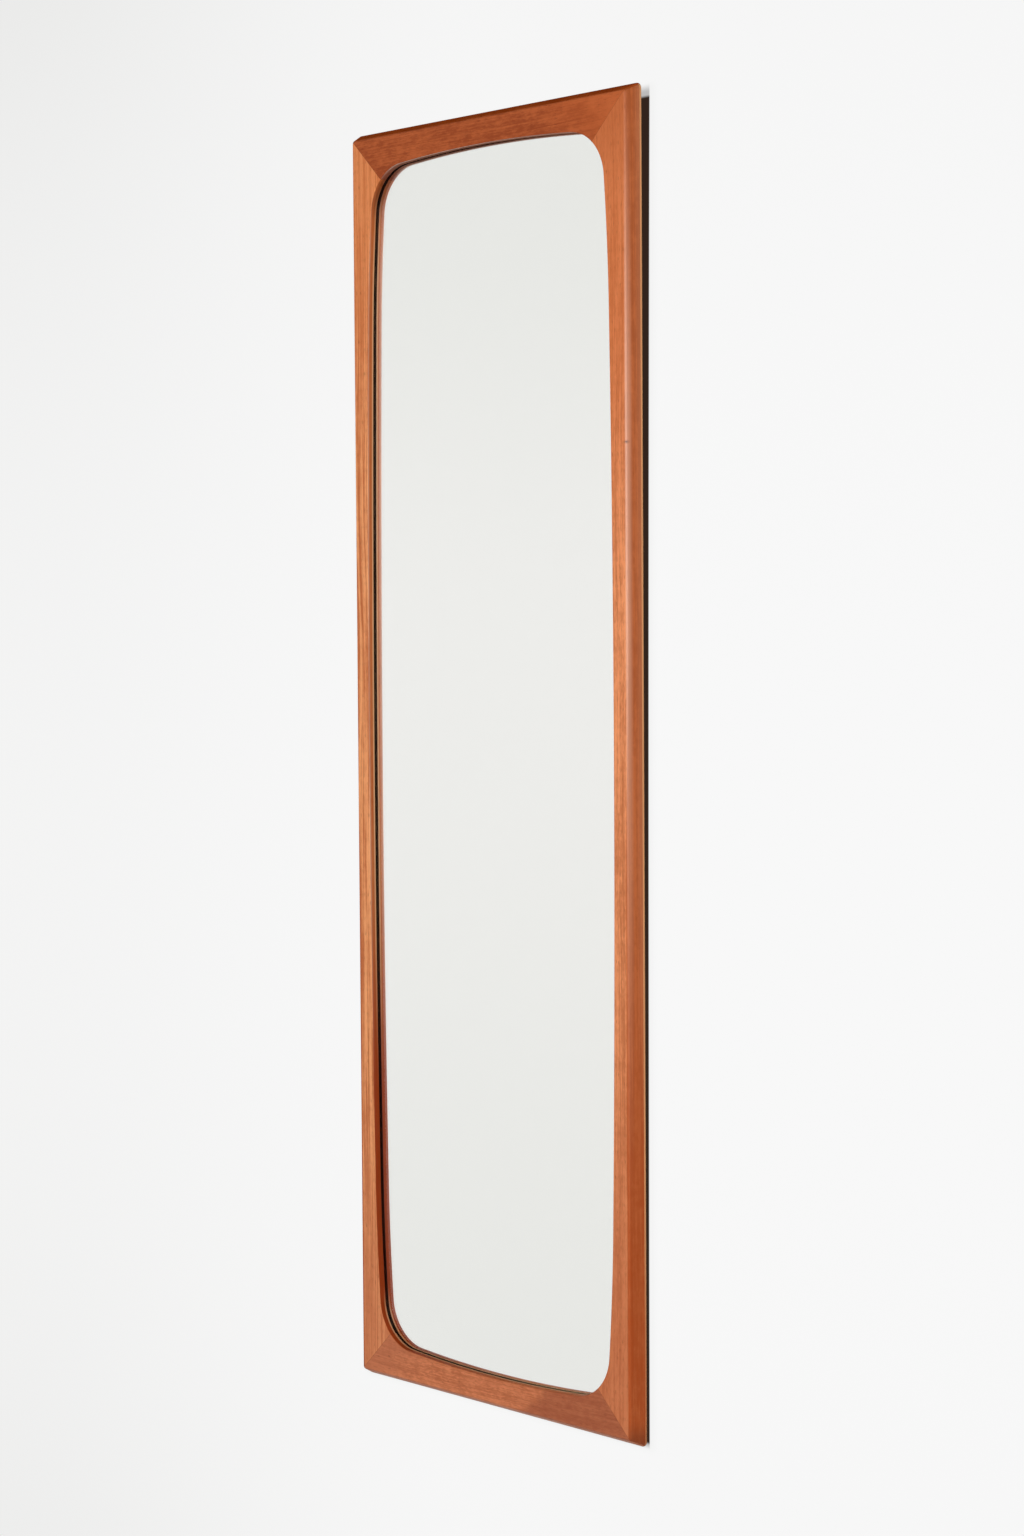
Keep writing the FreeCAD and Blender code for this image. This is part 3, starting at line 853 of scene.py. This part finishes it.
# Room around the mirror
# A white wall that carries the mirror, a pale floor below it and a plain pale surround. The
# mirror leans a little: its rings hold the top off the wall and its pads the bottom.
lean_top, lean_bottom = 0.008, 0.002
floor_level, wall_top = -2.05, 0.75
room_half, floor_front, floor_rear = 1.6, -1.9, 1.6


def stage_sheet(name, corners, material):
    """One flat sheet of the surroundings."""
    made = bmesh.new()
    made.faces.new([made.verts.new(corner) for corner in corners])
    mesh = bpy.data.meshes.new(name)
    made.to_mesh(mesh)
    made.free()
    mesh.materials.append(material)
    sheet = bpy.data.objects.new(name, mesh)
    bpy.context.scene.collection.objects.link(sheet)
    return sheet


def wall_y(z):
    """Where the wall stands at a height, seen from the mirror, which is upright here."""
    share = (z - (frame_middle - half_height) * MM) / (2 * half_height * MM)
    return lean_bottom + share * (lean_top - lean_bottom)


white_paint, shader, place = new_finish("white_wall", {})
x, y, z = place.axes()

# Painted shade: the wall a little darker toward the left and toward the top and bottom
left = (x * -1.25).rise(0.0, 1.0)
up_or_down = abs(z + 0.66)
high = up_or_down * 1.15
shade = left * 0.34 + high * high * (0.22 + left * 0.36)
wall = shade.blend(tone(248, 248, 248), tone(235, 235, 234))

# The mirror's shadow on the wall: faint around it, closer beside it and dark in the gap behind it
beyond = abs(x) - (0.1878 + up_or_down * up_or_down * 0.0035)
soft = beyond.rise(0.012, 0.0) * z.rise(0.052, 0.042) * z.rise(-1.160, -1.150)
wall = (soft * 0.05).blend(wall, tone(120, 112, 108))
near = beyond.rise(0.0008, -0.0008) * z.rise(0.0485, 0.0400) * z.rise(-1.1550, -1.1490)
wall = (near * 0.55).blend(wall, tone(120, 116, 114))
dark = beyond.rise(0.0006, -0.0006) * z.rise(0.0385, 0.0355) * z.rise(-1.1505, -1.1475)
wall = dark.blend(wall, tone(50, 36, 29))

# Bright by itself to the viewer, and clear from behind
glow = place.node("ShaderNodeEmission", {}, {"Color": wall, "Strength": 1.0})
clear = place.node("ShaderNodeBsdfTransparent", {}, {})
behind = place.node("ShaderNodeNewGeometry", {}, {}, "Backfacing")
seen = place.node("ShaderNodeMixShader", {}, {0: behind, 1: glow, 2: clear})
white_paint.node_tree.nodes.remove(shader)
seen.into(white_paint.node_tree.nodes["Material Output"], "Surface")
wall_corners = [(-room_half, wall_y(floor_level), floor_level), (room_half, wall_y(floor_level), floor_level),
                (room_half, wall_y(wall_top), wall_top), (-room_half, wall_y(wall_top), wall_top)]
white_wall = stage_sheet("white_wall", wall_corners, white_paint)
white_wall.visible_diffuse = False
white_wall.visible_glossy = False
white_wall.visible_shadow = False
pale_paint, shader, place = new_finish("pale_floor", {"Specular IOR Level": 0.1, "Roughness": 0.6,
                                                      "Emission Strength": 0.86})
x, y, z = place.axes()
patch = place.point(x * 3, y * 3, z).cloud(detail=3.0)
patch.blend(tone(116, 116, 115), tone(124, 124, 123)).into(shader, "Base Color")
patch.blend(tone(232, 232, 230), tone(240, 240, 238)).into(shader, "Emission Color")
floor_corners = [(-room_half, floor_front, floor_level), (room_half, floor_front, floor_level),
                 (room_half, floor_rear, floor_level), (-room_half, floor_rear, floor_level)]
pale_floor = stage_sheet("pale_floor", floor_corners, pale_paint)
pale_floor.visible_diffuse = False

# Light of the room
# One broad soft light in front, one near the viewer for the sheen on the arris, one on the back for
# whoever looks there, and an even pale surround that the mirror shows.


def soft_light(name, spot, aim, width, height, power, in_mirrors):
    """A flat rectangular light at its spot, turned to its aim."""
    light = bpy.data.lights.new(name, "AREA")
    light.shape = "RECTANGLE"
    light.size = width
    light.size_y = height
    light.energy = power
    lamp = bpy.data.objects.new(name, light)
    lamp.location = spot
    lamp.rotation_mode = "QUATERNION"
    lamp.rotation_quaternion = (Vector(aim) - Vector(spot)).to_track_quat("-Z", "Y")
    bpy.context.scene.collection.objects.link(lamp)
    lamp.visible_camera = False
    lamp.visible_transmission = False
    lamp.visible_glossy = in_mirrors


soft_light("front_light", spot=(-0.25, -2.3, -0.38), aim=(0, 0, -0.45), width=1.3, height=1.3, power=16.0,
           in_mirrors=False)
soft_light("side_light", spot=(1.84, -2.13, -0.20), aim=(0.18, 0, -0.40), width=2.2, height=0.7, power=39.0,
           in_mirrors=True)
soft_light("back_light", spot=(-0.3, 2.3, -0.1), aim=(0, 0, -0.5), width=1.6, height=1.6, power=43.0,
           in_mirrors=False)
surround = bpy.data.worlds.new("pale_surround")
surround.use_nodes = True
bpy.context.scene.world = surround
tree = surround.node_tree
place = Shade(tree.nodes.new("ShaderNodeTexCoord").outputs["Generated"])
x, y, z = place.axes()

# What the mirror shows, what lights the piece and what the viewer sees beyond the wall
mirrored = (z.rise(0.0, 0.17) + z.rise(0.0, -0.3)).blend(tone(241, 241, 239), tone(234, 235, 232))
mirrored = z.rise(0.35, 0.8).blend(mirrored, tone(120, 118, 114))
around = z.rise(-0.3, 0.6).blend(tone(150, 150, 150), tone(70, 70, 70))
path = tree.nodes.new("ShaderNodeLightPath")
reflected = Shade(path.outputs["Is Glossy Ray"]) + Shade(path.outputs["Is Transmission Ray"])
colour = reflected.rise(0.0, 1.0).blend(around, mirrored)
colour = Shade(path.outputs["Is Camera Ray"]).blend(colour, tone(243, 243, 242))
colour.into(tree.nodes["Background"], "Color")

# Camera
# It stands to the right of the mirror at the level of its upper half and looks a little down. Its
# place, turn and focal length come from the mirror's edges in the photograph.
yaw, pitch, roll = math.radians(46.2225), math.radians(-2.7676), math.radians(-0.3711)
stand = (1.93481, -1.83516, -0.42489)
focal_pixels, photo_height, sensor = 2886.71, 1536, 36
look = Vector((-math.sin(yaw) * math.cos(pitch), math.cos(yaw) * math.cos(pitch), math.sin(pitch)))
level_right = look.cross(Vector((0, 0, 1))).normalized()
level_up = level_right.cross(look)
right = math.cos(roll) * level_right + math.sin(roll) * level_up
up = math.cos(roll) * level_up - math.sin(roll) * level_right
eye = bpy.data.cameras.new("viewer")
eye.lens = focal_pixels / photo_height * sensor
eye.sensor_width = sensor
eye.clip_start = 0.05
eye.clip_end = 50
viewer = bpy.data.objects.new("viewer", eye)
viewer.matrix_world = Matrix.Translation(stand) @ Matrix((right, up, -look)).transposed().to_4x4()
bpy.context.scene.collection.objects.link(viewer)
bpy.context.scene.camera = viewer
bpy.context.scene.view_settings.view_transform = "Standard"
